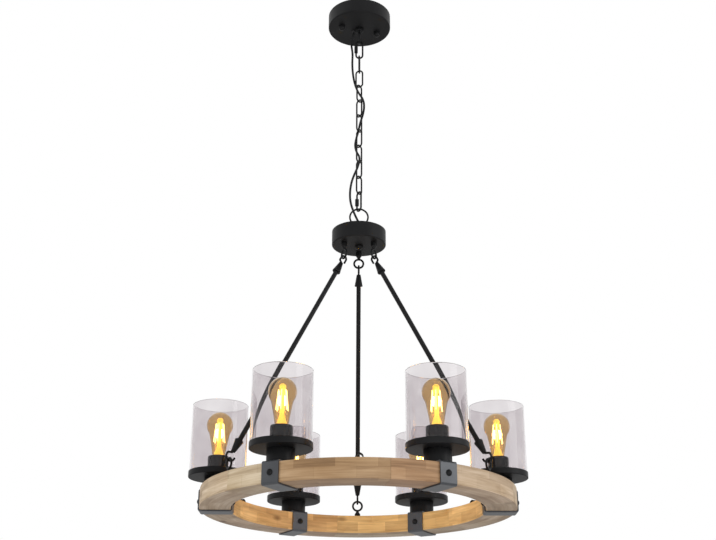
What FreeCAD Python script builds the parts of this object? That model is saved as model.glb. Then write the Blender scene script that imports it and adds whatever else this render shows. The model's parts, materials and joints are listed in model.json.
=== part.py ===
import FreeCAD, Part
import math
import os

from FreeCAD import Vector as V

# Wagon wheel chandelier: a wooden ring of felloes with six glass lamps on it, hung by three rods
# from a round hub, which hangs by a chain from the ceiling canopy. Millimetres, +Z up.
# The origin is the middle of the canopy's rim, on the ceiling plane, and the ring's axis is Z.

# ---- ceiling fitting ----
CANOPY_R = 75.0
CANOPY_HEIGHT = 35.0
CANOPY_WALL = 1.2
CANOPY_EDGE_R = 3.0
BAR_TURN = 17.3              # degrees that the crossbar is turned from X
BAR_LENGTH = 112.0
BAR_WIDTH = 24.0
BAR_THICK = 2.5
BAR_DROP = 10.0              # how far the bar's middle is joggled down
BAR_MIDDLE = 30.0            # length of the lowered middle
BAR_RAMP = 7.0
CEILING_HOLE_PCD = 62.0
CEILING_HOLE_R = 2.6
STUD_SPACING = 88.6
STUD_R = 2.0
STUD_HEAD_R = 3.6
STUD_HEAD = 0.9
CAP_NUT_R = 7.5
CAP_NUT_HEIGHT = 12.0
TERMINAL_SIZE = (16.0, 32.0, 14.0)
TERMINAL_WIRE_R = 1.6
TERMINAL_PLACE = 44.0        # from the axis, square to the bar

# ---- screw-collar loops, above and below the chain ----
STEM_R = 5.0
COLLAR_R = 10.0
COLLAR_CHAMFER = 1.5
NECK_R = 4.6
TOP_COLLAR_HEIGHT = 11.0
TOP_LOOP_R = 14.5            # to the middle of the wire
TOP_LOOP_WIRE_R = 2.2
TOP_LOOP_TURN = 90.0
HUB_COLLAR_HEIGHT = 16.0
HUB_LOOP_R = 20.5
HUB_LOOP_WIRE_R = 2.0
HUB_LOOP_TURN = 0.0
NUT_FLATS = 16.0
NUT_HEIGHT = 5.0

# ---- chain ----
LINK_LENGTH = 44.7           # between the middles of its two bows
LINK_WIDTH = 16.0            # between the middles of its two legs
LINK_WIRE_R = 1.9
QUICK_LENGTH = 47.3
QUICK_WIDTH = 15.8
QUICK_WIRE_R = 2.1
SLEEVE_FLATS = 8.4
SLEEVE_LENGTH = 16.0
SEAT_GAP = 0.3               # between two wires that bear on each other
UPPER_QUICK_TURN = 0.0
LINK_TURNS = (85.0, -15.0, 48.0, -45.0, 45.0, -45.0, 45.0, -45.0, 45.0)
LOWER_QUICK_TURN = -55.0

# ---- mains cord ----
CORD_R = 2.5
GLAND_R = 5.0
GLAND_LENGTH = 5.0
GLAND_PLUG = 3.0             # how far a gland reaches through its wall

# ---- hub ----
HUB_R = 60.5
HUB_HEIGHT = 35.0
HUB_WALL = 1.5
HUB_EDGE_R = 3.0
HUB_LID = 2.0
FINIAL_R = 9.0
FINIAL_HEIGHT = 9.0
HUB_EYE_RADIUS = 38.0        # of the circle that the hub's eye bolts stand on

# ---- eye bolts, in the hub and in the ring ----
EYE_R = 10.4
EYE_WIRE_R = 2.25
EYE_HEIGHT = 27.0            # from the seat to the middle of the eye
EYE_COLLAR_R = 6.4
EYE_COLLAR = 13.0
EYE_SHANK_R = 3.0
RING_EYE_SHANK = 25.0
HUB_EYE_SHANK = 9.0
EYE_NUT_FLATS = 10.0
EYE_NUT = 5.0

# ---- suspension rods ----
ROD_COUNT = 3
ROD_FIRST = 90.0             # direction of the first rod, degrees from X
ROD_R = 5.0
ROD_WALL = 1.0
HOOK_WIRE_R = 2.2
TOP_HOOK_R = 6.3             # to the middle of the wire
TOP_HOOK_TAIL = 9.0          # straight end past the bend
RING_HOOK_R = 9.0
RING_HOOK_TAIL = 2.0
HOOK_NECK = 15.0             # from the eye's wire to the ferrule's narrow end
HOOK_SEAT = 0.15
FERRULE_LENGTH = 27.0
FERRULE_R = 9.0
FERRULE_NECK_R = 4.4
FERRULE_LIP = 3.0
ROD_IN_FERRULE = 14.0

# ---- wooden ring ----
RING_R = 322.0
RING_INNER_R = 259.0
RING_HEIGHT = 39.0
RING_EDGE = 1.5
RING_DROP = 553.0            # from the hub's underside to the ring's top
FELLOES = 6
FELLOE_FIRST = 40.0          # direction of the first joint between two felloes

# ---- straps round the ring, one under each lamp ----
LAMPS = 6
STRAP_WIDTH = 36.0
STRAP_THICK = 3.0
STRAP_CORNER = 5.0
STRAP_CLEAR = 0.15
SCREW_R = 2.5
SCREW_HEAD_R = 6.0
SCREW_HEAD = 4.5
SCREW_IN_WOOD = 22.0
PILOT_CLEAR = 0.1
CLIP_R = 7.7
CLIP_WIDTH = 9.0
CLIP_WALL = 2.2
CLIP_LEG = 6.5

# ---- lamps ----
SPACER_R = 26.7
SPACER_HEIGHT = 25.8
SPACER_WALL = 1.5
DISH_R = 60.0
DISH_HEIGHT = 12.3
DISH_FLOOR = 1.5
DISH_WALL = 1.2
DISH_FOLD = 1.5
GLASS_CLEAR = 0.3
GLASS_WALL = 3.0
GLASS_HEIGHT = 151.5
HOLDER_R = 21.5
HOLDER_HEIGHT = 43.0
HOLDER_TOP_R = 2.0
HOLDER_FLOOR = 7.0
SPIGOT_R = 4.9
SPIGOT_IN_WOOD = 10.0
CAP_R = 13.2                 # the bulb's screw cap
CAP_LENGTH = 27.0
CAP_TIP_R = 7.0
CAP_TIP = 3.5
CAP_CLEAR = 0.6
BULB_R = 27.5
BULB_NECK_R = 12.4
BULB_WALL = 0.9
BULB_ABOVE_HOLDER = 93.0
BULB_NECK_SINK = 4.0         # how far the glass neck starts below the holder's rim

AXIS_Z = V(0, 0, 1)
ORIGIN = V(0, 0, 0)


# ---- places that follow from the sizes ----
canopy_floor = -CANOPY_HEIGHT
top_loop_z = canopy_floor - TOP_COLLAR_HEIGHT - TOP_LOOP_R
seat_z = top_loop_z - TOP_LOOP_R
seat_wire = TOP_LOOP_WIRE_R
link_plan = [("upper_quick_link", QUICK_LENGTH, QUICK_WIDTH, QUICK_WIRE_R, UPPER_QUICK_TURN)]
for number, link_turn in enumerate(LINK_TURNS, 1):
    link_plan.append((f"chain_link_{number}", LINK_LENGTH, LINK_WIDTH, LINK_WIRE_R, link_turn))
link_plan.append(("lower_quick_link", QUICK_LENGTH, QUICK_WIDTH, QUICK_WIRE_R, LOWER_QUICK_TURN))
link_tops = {}
for link_name, link_length, link_width, link_wire, link_turn in link_plan:
    link_tops[link_name] = seat_z + seat_wire + link_wire + SEAT_GAP
    seat_z = link_tops[link_name] - link_length
    seat_wire = link_wire
hub_loop_z = seat_z + seat_wire + HUB_LOOP_WIRE_R + SEAT_GAP - HUB_LOOP_R
hub_top = hub_loop_z - HUB_LOOP_R - HUB_COLLAR_HEIGHT
hub_floor = hub_top - HUB_HEIGHT
ring_top = hub_floor - RING_DROP
ring_middle = (RING_R + RING_INNER_R) / 2
ring_bottom = ring_top - RING_HEIGHT
strap_top = ring_top + STRAP_THICK + STRAP_CLEAR
dish_bottom = strap_top + SPACER_HEIGHT
dish_floor = dish_bottom + DISH_FLOOR
holder_top = dish_floor + HOLDER_HEIGHT
bulb_top = holder_top + BULB_ABOVE_HOLDER
rod_directions = [ROD_FIRST + 360.0 * k / ROD_COUNT for k in range(ROD_COUNT)]
lamp_directions = [360.0 * k / LAMPS for k in range(LAMPS)]
clip_directions = [ROD_FIRST + 180.0 + 360.0 * k / ROD_COUNT for k in range(ROD_COUNT)]


# ---- helpers ----
def turned(shape, degrees):
    """A copy of the shape, turned about Z."""
    copy = shape.copy()
    copy.rotate(ORIGIN, AXIS_Z, degrees)
    return copy


def revolved(outline):
    """A solid of revolution about Z, from (radius, z) corners or ("arc", through, to) steps."""
    edges = []
    first = outline[0]
    at = first
    for step in list(outline[1:]) + [first]:
        if step[0] == "arc":
            edges.append(Part.Arc(V(at[0], 0, at[1]), V(step[1][0], 0, step[1][1]),
                                  V(step[2][0], 0, step[2][1])).toShape())
            at = step[2]
        elif math.dist(at, step) > 1e-6:
            edges.append(Part.makeLine(V(at[0], 0, at[1]), V(step[0], 0, step[1])))
            at = step
    return Part.Solid(Part.Face(Part.Wire(edges)).revolve(ORIGIN, AXIS_Z, 360).Shells[0])


def dome(radius, z, height):
    """The arc of a round cap over the axis, from its rim (radius, z) to its crown."""
    sphere_r = (radius ** 2 + height ** 2) / (2 * abs(height))
    centre_z = z + height - math.copysign(sphere_r, height)
    rim = math.atan2(z - centre_z, radius)
    middle = (rim + math.copysign(math.pi / 2, height)) / 2
    through = (sphere_r * math.cos(middle), centre_z + sphere_r * math.sin(middle))
    return ("arc", through, (0, z + height))


def tube_path(points, radii):
    """A wire of straight runs joined by tangent arcs, one radius for each inner point."""
    edges = []
    start = points[0]
    for before, corner, after, radius in zip(points, points[1:], points[2:], radii):
        back = (before - corner).normalize()
        ahead = (after - corner).normalize()
        half_turn = (math.pi - back.getAngle(ahead)) / 2
        reach = radius * math.tan(half_turn)
        arc_start = corner + back * reach
        arc_end = corner + ahead * reach
        inward = (back + ahead).normalize()
        arc_middle = corner + inward * (radius / math.cos(half_turn) - radius)
        if (arc_start - start).Length > 1e-4:
            edges.append(Part.LineSegment(start, arc_start).toShape())
        edges.append(Part.Arc(arc_start, arc_middle, arc_end).toShape())
        start = arc_end
    edges.append(Part.LineSegment(start, points[-1]).toShape())
    return Part.Wire(edges)


def wire_tube(path, radius):
    """A round bar along a wire."""
    start = path.Vertexes[0].Point
    direction = path.Edges[0].tangentAt(path.Edges[0].FirstParameter)
    section = Part.Wire([Part.makeCircle(radius, start, direction)])
    return path.makePipeShell([section], True, False)


def hexagon(flats, height, z, place=(0.0, 0.0)):
    """A hexagonal prism standing on z."""
    corner_r = flats / math.sqrt(3)
    corners = [V(place[0] + corner_r * math.cos(math.radians(60 * k)),
                 place[1] + corner_r * math.sin(math.radians(60 * k)), z) for k in range(7)]
    return Part.Face(Part.makePolygon(corners)).extrude(V(0, 0, height))


def ring_at(radius, wire_r, centre, turn):
    """An upright ring of round wire, whose plane is turned from XZ."""
    ring = Part.makeTorus(radius, wire_r, centre, V(0, 1, 0))
    ring.rotate(centre, AXIS_Z, turn)
    return ring


def write(node, shapes):
    """One STEP file for one node: a single solid, or a group of separate solids."""
    solids = [solid for shape in shapes for solid in shape.Solids]
    for solid in solids:
        if not solid.isValid():
            print("not valid:", node)
    group = solids[0] if len(solids) == 1 else Part.Compound(solids)
    group.exportStep(f"parts/{node}.step")


def repeated(shape, directions):
    return [turned(shape, direction) for direction in directions]


# ---- ceiling fitting ----
def bar_solid():
    half = BAR_LENGTH / 2
    inner = BAR_MIDDLE / 2
    outer = inner + BAR_RAMP
    top = [(-half, 0), (-outer, 0), (-inner, -BAR_DROP), (inner, -BAR_DROP), (outer, 0), (half, 0)]
    corners = [V(x, -BAR_WIDTH / 2, z) for x, z in top]
    corners += [V(x, -BAR_WIDTH / 2, z - BAR_THICK) for x, z in reversed(top)]
    corners.append(corners[0])
    bar = Part.Face(Part.makePolygon(corners)).extrude(V(0, BAR_WIDTH, 0))
    upright = [edge for edge in bar.Edges
               if abs(abs(edge.CenterOfMass.x) - half) < 0.01 and edge.Length < BAR_THICK + 0.1]
    bar = bar.makeFillet(BAR_WIDTH / 4, upright)
    through = BAR_DROP + 3 * BAR_THICK
    cuts = [Part.makeCylinder(STEM_R + 0.2, through, V(0, 0, -through))]
    for side in (-1, 1):
        stud_at = V(side * STUD_SPACING / 2, 0, -through)
        cuts.append(Part.makeCylinder(STUD_R + 0.05, 2 * through, stud_at))
        cuts.append(Part.makeCylinder(STUD_HEAD_R + 0.05, STUD_HEAD + 0.05,
                                      V(stud_at.x, 0, -STUD_HEAD - 0.05)))
        cuts.append(Part.makeCylinder(CEILING_HOLE_R, 2 * through,
                                      V(side * CEILING_HOLE_PCD / 2, 0, -through)))
    return turned(bar.cut(cuts), BAR_TURN)


def stud_places():
    return [turned_point(side * STUD_SPACING / 2, 0, BAR_TURN) for side in (-1, 1)]


def turned_point(x, y, degrees):
    a = math.radians(degrees)
    return V(x * math.cos(a) - y * math.sin(a), x * math.sin(a) + y * math.cos(a), 0)


def stud_solids():
    length = CANOPY_HEIGHT + CAP_NUT_HEIGHT / 2
    studs = []
    for place in stud_places():
        shank = Part.makeCylinder(STUD_R, length, place - V(0, 0, length))
        head = Part.makeCylinder(STUD_HEAD_R, STUD_HEAD, place - V(0, 0, STUD_HEAD))
        studs.append(shank.fuse(head).removeSplitter())
    return studs


def cap_nut_solids():
    nuts = []
    straight = CAP_NUT_HEIGHT * 0.45
    nut = revolved([(STUD_R + 0.1, 0), (CAP_NUT_R - 0.6, 0), (CAP_NUT_R, -0.6), (CAP_NUT_R, -straight),
                    dome(CAP_NUT_R, -straight, straight - CAP_NUT_HEIGHT),
                    (0, -CAP_NUT_HEIGHT / 2 - 0.3), (STUD_R + 0.1, -CAP_NUT_HEIGHT / 2 - 0.3)])
    for place in stud_places():
        copy = nut.copy()
        copy.translate(place + V(0, 0, canopy_floor))
        nuts.append(copy)
    return nuts


def cup(radius, height, wall, edge_r, top):
    """A round cup that is open upwards, with a rounded lower edge."""
    floor = top - height
    c = math.cos(math.radians(45))
    inner_r = max(edge_r - wall, 0.4)
    corner = (radius - edge_r, floor + edge_r)
    inner_corner = (radius - wall - inner_r, floor + wall + inner_r)
    return revolved([
        (0, floor), (radius - edge_r, floor),
        ("arc", (corner[0] + edge_r * c, corner[1] - edge_r * c), (radius, floor + edge_r)),
        (radius, top), (radius - wall, top), (radius - wall, inner_corner[1]),
        ("arc", (inner_corner[0] + inner_r * c, inner_corner[1] - inner_r * c),
         (inner_corner[0], floor + wall)),
        (0, floor + wall)])


def canopy_solid():
    cover = cup(CANOPY_R, CANOPY_HEIGHT, CANOPY_WALL, CANOPY_EDGE_R, 0)
    depth = 4 * CANOPY_WALL
    holes = [Part.makeCylinder(STEM_R + 0.2, depth, V(0, 0, canopy_floor - CANOPY_WALL))]
    for place in stud_places():
        holes.append(Part.makeCylinder(STUD_R + 0.3, depth, place + V(0, 0, canopy_floor - CANOPY_WALL)))
    exit_point = cord_points[0]
    holes.append(Part.makeCylinder(GLAND_R - 1.4, depth,
                                   V(exit_point.x, exit_point.y, canopy_floor - CANOPY_WALL)))
    return cover.cut(holes)


def terminal_solid():
    """A three-pole terminal block on the canopy's floor, with a way through it for each wire."""
    long, wide, high = TERMINAL_SIZE[1], TERMINAL_SIZE[0], TERMINAL_SIZE[2]
    block = Part.makeBox(long, wide, high, V(-long / 2, -wide / 2, 0))
    block = block.makeChamfer(1.0, [e for e in block.Edges if abs(e.CenterOfMass.z - high) < 0.01])
    cuts = []
    for k in (-1, 0, 1):
        x = k * long / 3
        cuts.append(Part.makeCylinder(TERMINAL_WIRE_R, wide, V(x, -wide / 2, high / 2), V(0, 1, 0)))
    block = block.cut(cuts)
    place = turned_point(0, TERMINAL_PLACE, BAR_TURN)
    block.translate(V(0, TERMINAL_PLACE, canopy_floor + CANOPY_WALL))
    return turned(block, BAR_TURN)


def loop_solid(seat, collar, radius, wire_r, turn, stem_end, way):
    """A screw-collar loop: collar on the seat, ring beyond it, threaded stem through the wall.
    way is -1 for a loop that hangs down and 1 for one that stands up."""
    centre = V(0, 0, seat + way * (collar + radius))
    neck = seat + way * collar
    profile = [(0, seat), (COLLAR_R - COLLAR_CHAMFER, seat), (COLLAR_R, seat + way * COLLAR_CHAMFER),
               (COLLAR_R, neck - way * (collar * 0.35 + COLLAR_CHAMFER)),
               (COLLAR_R - COLLAR_CHAMFER, neck - way * collar * 0.35),
               (NECK_R + 1.2, neck - way * collar * 0.3), (NECK_R, neck), (0, neck)]
    body = revolved(profile)
    low = min(seat, stem_end)
    stem = Part.makeCylinder(STEM_R, abs(seat - stem_end), V(0, 0, low))
    return body.fuse([stem, ring_at(radius, wire_r, centre, turn)]).removeSplitter()


def nut_solid(z, bore_r=STEM_R + 0.05):
    nut = hexagon(NUT_FLATS, NUT_HEIGHT, z)
    return nut.cut(Part.makeCylinder(bore_r, 3 * NUT_HEIGHT, V(0, 0, z - NUT_HEIGHT)))


# ---- chain ----
def link_solid(name, length, width, wire_r, turn):
    """One closed link: two half-round bows and two straight legs."""
    bow_r = width / 2
    top = link_tops[name] - bow_r
    bottom = link_tops[name] - length + bow_r
    legs = [Part.makeCylinder(wire_r, top - bottom, V(side * bow_r, 0, bottom)) for side in (-1, 1)]
    bows = []
    for z, way in ((top, -1), (bottom, 1)):
        section = Part.Face(Part.Wire([Part.makeCircle(wire_r, V(bow_r, 0, z), AXIS_Z)]))
        bows.append(section.revolve(V(0, 0, z), V(0, way, 0), 180))
    link = bows[0].fuse(legs + [bows[1]]).removeSplitter()
    return turned(link, turn)


def sleeve_solid(name, length, width, wire_r, turn):
    """The screw sleeve on a quick link's leg."""
    middle = link_tops[name] - length / 2
    sleeve = hexagon(SLEEVE_FLATS, SLEEVE_LENGTH, middle - SLEEVE_LENGTH / 2, (-width / 2, 0))
    bore = Part.makeCylinder(wire_r + 0.05, 2 * SLEEVE_LENGTH, V(-width / 2, 0, middle - SLEEVE_LENGTH))
    return turned(sleeve.cut(bore), turn)


# ---- mains cord ----
# The route starts on the canopy's floor and ends on the hub's lid. It hangs beside the chain,
# goes through links 3, 5 and 7 and crosses in front of the hub's loop.
def cord_route():
    start_z = canopy_floor - GLAND_LENGTH
    end_z = hub_top + GLAND_LENGTH
    return [
        V(-13.5, 7.4, start_z), V(-16.1, 8.0, -54.0), V(-20.1, 9.0, -73.0), V(-15.9, 9.6, -98.0),
        V(-17.2, 9.9, -126.0), V(-15.8, 9.8, -153.0), V(-12.1, 9.5, -179.0), V(-5.4, 7.1, -203.0),
        V(1.7, -1.9, -222.0), V(9.4, -11.8, -240.0), V(12.1, -11.0, -259.0), V(8.9, -9.5, -280.0),
        V(2.6, -4.7, -298.0), V(-2.1, 10.5, -315.0), V(-7.4, 13.0, -334.0), V(-9.9, 11.3, -352.0),
        V(-6.0, 7.4, -371.0), V(0.8, -3.6, -388.0), V(0.9, -12.1, -404.0), V(-3.2, -12.5, -421.0),
        V(-10.8, -12.6, -439.0), V(-17.5, -13.6, -460.0), V(-20.8, -14.2, -484.0),
        V(-20.3, -14.3, -507.0), V(-15.3, -14.0, -527.0), V(-9.1, -14.0, -543.0),
        V(-3.4, -14.5, -556.0), V(1.0, -15.1, -565.5), V(2.5, -15.3, end_z)]


def cord_radii(points):
    """Each arc takes 0.45 of its shorter run."""
    radii = []
    for before, corner, after in zip(points, points[1:], points[2:]):
        turn = math.pi - (before - corner).getAngle(after - corner)
        shorter = min((before - corner).Length, (after - corner).Length)
        radii.append(0.45 * shorter / math.tan(turn / 2))
    return radii


def gland_solid(place, wall_z, way):
    """A cord gland through a wall; way is the side, -1 or 1, that the cord leaves to."""
    bore = CORD_R + 0.35
    gland = revolved([(bore, wall_z - way * GLAND_PLUG), (GLAND_R - 1.5, wall_z - way * GLAND_PLUG),
                      (GLAND_R - 1.5, wall_z), (GLAND_R, wall_z), (GLAND_R, wall_z + way * 2),
                      (bore + 0.8, wall_z + way * GLAND_LENGTH), (bore, wall_z + way * GLAND_LENGTH)])
    gland.translate(V(place.x, place.y, 0))
    return gland


# ---- hub ----
def hub_cup_solid():
    body = cup(HUB_R, HUB_HEIGHT - HUB_LID, HUB_WALL, HUB_EDGE_R, hub_top - HUB_LID)
    holes = [Part.makeCylinder(STEM_R + 0.2, 4 * HUB_WALL, V(0, 0, hub_floor - HUB_WALL))]
    for direction in rod_directions:
        place = turned_point(HUB_EYE_RADIUS, 0, direction)
        holes.append(Part.makeCylinder(EYE_SHANK_R + 0.1, 4 * HUB_WALL,
                                       place + V(0, 0, hub_floor - HUB_WALL)))
    return body.cut(holes)


def hub_lid_solid():
    lid = revolved([(STEM_R + 0.2, hub_top - HUB_LID), (HUB_R, hub_top - HUB_LID), (HUB_R, hub_top - 0.6),
                    (HUB_R - 0.6, hub_top), (STEM_R + 0.2, hub_top)])
    end = cord_points[-1]
    return lid.cut(Part.makeCylinder(GLAND_R - 1.4, 3 * HUB_LID, V(end.x, end.y, hub_top - 2 * HUB_LID)))


def finial_solid():
    return revolved([(STEM_R + 0.1, hub_floor), (FINIAL_R - 0.8, hub_floor), (FINIAL_R, hub_floor - 0.8),
                     (FINIAL_R, hub_floor - 3),
                     dome(FINIAL_R, hub_floor - 3, 3 - FINIAL_HEIGHT),
                     (0, hub_floor - 5), (STEM_R + 0.1, hub_floor - 5)])


# ---- eye bolts ----
def eye_bolt_solid(seat, way, shank, radius):
    """An eye bolt on the seat plane at that radius; its ring's plane faces the axis."""
    top = seat + way * (EYE_HEIGHT - EYE_R)
    body = revolved([(0, seat), (EYE_COLLAR_R, seat), (EYE_COLLAR_R, seat + way * EYE_COLLAR * 0.7),
                     (EYE_WIRE_R + 1.4, seat + way * EYE_COLLAR), (EYE_WIRE_R, top), (0, top)])
    ring = ring_at(EYE_R, EYE_WIRE_R, V(0, 0, seat + way * EYE_HEIGHT), 90)
    low = min(seat, seat - way * shank)
    bolt = body.fuse([ring, Part.makeCylinder(EYE_SHANK_R, shank, V(0, 0, low))]).removeSplitter()
    bolt.translate(V(radius, 0, 0))
    return bolt


def eye_nut_solid():
    z = hub_floor + HUB_WALL
    nut = hexagon(EYE_NUT_FLATS, EYE_NUT, z)
    nut = nut.cut(Part.makeCylinder(EYE_SHANK_R + 0.05, 3 * EYE_NUT, V(0, 0, z - EYE_NUT)))
    nut.translate(V(HUB_EYE_RADIUS, 0, 0))
    return nut


# ---- rods ----
hub_seat = V(HUB_EYE_RADIUS, 0, hub_floor - EYE_HEIGHT - EYE_R)
ring_seat = V(ring_middle, 0, ring_top + EYE_HEIGHT + EYE_R)
rod_line = (ring_seat - hub_seat).normalize()
rod_span = (ring_seat - hub_seat).Length


def rod_tube_solid():
    start = HOOK_NECK + FERRULE_LENGTH - ROD_IN_FERRULE
    length = rod_span - 2 * start
    at = hub_seat + rod_line * start
    outer = Part.makeCylinder(ROD_R, length, at, rod_line)
    return outer.cut(Part.makeCylinder(ROD_R - ROD_WALL, length, at, rod_line))


def hook_solid(seat, along, bend_r, tail):
    """A hook and its ferrule: the hook bears on the eye's wire at the seat, the ferrule takes the rod."""
    outward = V(-along.z, 0, along.x)
    if outward.x < 0:
        outward = outward * -1
    apex = EYE_WIRE_R + HOOK_WIRE_R + HOOK_SEAT
    plan = [(HOOK_NECK + 4, 0), (HOOK_NECK - 1, 0), (HOOK_NECK - 1 - bend_r * 0.55, bend_r),
            (-apex, bend_r), (-apex, -bend_r), (bend_r - apex + tail, -bend_r)]
    points = [seat + along * u + outward * v for u, v in plan]
    wire = wire_tube(tube_path(points, [3.0, 3.0, bend_r - 0.05, bend_r - 0.05]), HOOK_WIRE_R)
    straight = FERRULE_LENGTH - FERRULE_LIP
    cone = Part.makeCone(FERRULE_NECK_R, FERRULE_R, straight, seat + along * HOOK_NECK, along)
    lip = Part.makeCylinder(FERRULE_R, FERRULE_LIP, seat + along * (HOOK_NECK + straight), along)
    bore = Part.makeCylinder(ROD_R + 0.05, 2 * ROD_IN_FERRULE,
                             seat + along * (HOOK_NECK + FERRULE_LENGTH - ROD_IN_FERRULE), along)
    return wire.fuse([cone, lip]).cut(bore).removeSplitter()


# ---- wooden ring ----
def sector(start, end, reach, low, high):
    """A wedge of a cylinder between two directions."""
    wedge = Part.makeCylinder(reach, high - low, V(0, 0, low), AXIS_Z, end - start)
    return turned(wedge, start)


def pilot_holes():
    depth = SCREW_IN_WOOD + PILOT_CLEAR
    middle_z = ring_top - RING_HEIGHT / 2
    outer = Part.makeCylinder(SCREW_R + PILOT_CLEAR, depth + STRAP_THICK + 2,
                              V(RING_R - depth, 0, middle_z), V(1, 0, 0))
    inner = Part.makeCylinder(SCREW_R + PILOT_CLEAR, depth + STRAP_THICK + 2,
                              V(RING_INNER_R + depth, 0, middle_z), V(-1, 0, 0))
    spigot = Part.makeCylinder(SPIGOT_R + PILOT_CLEAR, SPIGOT_IN_WOOD + PILOT_CLEAR + 2 * STRAP_THICK,
                               V(ring_middle, 0, ring_top - SPIGOT_IN_WOOD - PILOT_CLEAR))
    return [outer, inner, spigot]


def felloe_solids():
    ring = Part.makeCylinder(RING_R, RING_HEIGHT, V(0, 0, ring_bottom))
    ring = ring.cut(Part.makeCylinder(RING_INNER_R, RING_HEIGHT, V(0, 0, ring_bottom)))
    ring = ring.makeChamfer(RING_EDGE, [e for e in ring.Edges if e.Curve.TypeId == "Part::GeomCircle"])
    eye_hole = Part.makeCylinder(EYE_SHANK_R + PILOT_CLEAR, RING_EYE_SHANK + 1,
                                 V(ring_middle, 0, ring_top - RING_EYE_SHANK - PILOT_CLEAR))
    cuts = repeated(eye_hole, rod_directions)
    for hole in pilot_holes():
        cuts += repeated(hole, lamp_directions)
    ring = ring.cut(cuts)
    step = 360.0 / FELLOES
    return [ring.common(sector(FELLOE_FIRST + k * step, FELLOE_FIRST + (k + 1) * step, RING_R + 5,
                               ring_bottom - 1, ring_top + 1)) for k in range(FELLOES)]


def strap_solid():
    """A flat steel strap bent all the way round the ring's section, with holes for two screws."""
    half = STRAP_WIDTH / 2
    inner_low = math.sqrt(RING_INNER_R ** 2 - half ** 2) - STRAP_CLEAR
    inner_high = RING_R + STRAP_CLEAR
    low_z = ring_bottom - STRAP_CLEAR
    high_z = ring_top + STRAP_CLEAR
    hollow = Part.makeBox(inner_high - inner_low, STRAP_WIDTH, high_z - low_z, V(inner_low, -half, low_z))
    t = STRAP_THICK
    band = Part.makeBox(inner_high - inner_low + 2 * t, STRAP_WIDTH, high_z - low_z + 2 * t,
                        V(inner_low - t, -half, low_z - t))
    corners = [e for e in band.Edges if abs(e.Length - STRAP_WIDTH) < 0.001
               and abs(e.tangentAt(0).y) > 0.99]
    band = band.makeFillet(STRAP_CORNER, corners).cut(hollow)
    return band.cut(pilot_holes())


def screw_solids():
    middle_z = ring_top - RING_HEIGHT / 2
    head = revolved([(0, 0), (SCREW_HEAD_R, 0), (SCREW_HEAD_R, 1.2),
                     dome(SCREW_HEAD_R, 1.2, SCREW_HEAD - 1.2)])
    shank = Part.makeCylinder(SCREW_R, SCREW_IN_WOOD + STRAP_THICK, V(0, 0, -SCREW_IN_WOOD - STRAP_THICK))
    screw = head.fuse(shank).removeSplitter()
    outer = screw.copy()
    outer.rotate(ORIGIN, V(0, 1, 0), 90)
    outer.translate(V(RING_R + STRAP_CLEAR + STRAP_THICK, 0, middle_z))
    inner = screw.copy()
    inner.rotate(ORIGIN, V(0, 1, 0), -90)
    half = STRAP_WIDTH / 2
    inner.translate(V(math.sqrt(RING_INNER_R ** 2 - half ** 2) - STRAP_CLEAR - STRAP_THICK, 0, middle_z))
    return repeated(outer, lamp_directions) + repeated(inner, lamp_directions)


def clip_solid():
    """A small arched clip on the ring's top, open through along the ring."""
    inner_r = CLIP_R - CLIP_WALL
    arch = Part.makeCylinder(CLIP_R, CLIP_WIDTH, V(0, 0, CLIP_LEG), V(0, 1, 0))
    arch = arch.fuse(Part.makeBox(2 * CLIP_R, CLIP_WIDTH, CLIP_LEG, V(-CLIP_R, 0, 0)))
    hollow = Part.makeCylinder(inner_r, CLIP_WIDTH, V(0, 0, CLIP_LEG), V(0, 1, 0))
    hollow = hollow.fuse(Part.makeBox(2 * inner_r, CLIP_WIDTH, CLIP_LEG, V(-inner_r, 0, 0)))
    half_space = Part.makeBox(4 * CLIP_R, 2 * CLIP_WIDTH, 4 * CLIP_R, V(-2 * CLIP_R, -1, 0))
    clip = arch.cut(hollow).common(half_space).removeSplitter()
    clip.translate(V(0, -CLIP_WIDTH / 2, ring_top))
    clip.rotate(ORIGIN, AXIS_Z, 90)
    clip.translate(V(ring_middle, 0, 0))
    return clip


# ---- lamps, modelled at direction 0 and turned into place ----
def spacer_solid():
    """An inverted cup between the strap and the dish."""
    top = dish_bottom
    cup_shape = revolved([
        (SPIGOT_R + 0.1, top), (SPACER_R - 1, top), (SPACER_R, top - 1), (SPACER_R, strap_top),
        (SPACER_R - SPACER_WALL, strap_top), (SPACER_R - SPACER_WALL, top - SPACER_WALL),
        (SPIGOT_R + 0.1, top - SPACER_WALL)])
    cup_shape.translate(V(ring_middle, 0, 0))
    return cup_shape


def dish_solid():
    """The gallery dish that the glass stands in: a flat floor with an upright rim."""
    top = dish_bottom + DISH_HEIGHT
    dish = revolved([
        (SPIGOT_R + 0.1, dish_bottom), (DISH_R - DISH_FOLD, dish_bottom), (DISH_R, dish_bottom + DISH_FOLD),
        (DISH_R, top), (DISH_R - DISH_WALL, top), (DISH_R - DISH_WALL, dish_floor + 0.4),
        (DISH_R - DISH_WALL - 0.4, dish_floor), (SPIGOT_R + 0.1, dish_floor)])
    dish.translate(V(ring_middle, 0, 0))
    return dish


def glass_solid():
    outer = DISH_R - DISH_WALL - GLASS_CLEAR
    inner = outer - GLASS_WALL
    low = dish_floor
    top = low + GLASS_HEIGHT
    glass = revolved([(inner, low), (outer - 0.6, low), (outer, low + 0.6), (outer, top - 1.2),
                      ("arc", (outer - 0.35, top - 0.35), (outer - 1.2, top)),
                      (inner + 1.2, top), ("arc", (inner + 0.35, top - 0.35), (inner, top - 1.2))])
    glass.translate(V(ring_middle, 0, 0))
    return glass


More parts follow.
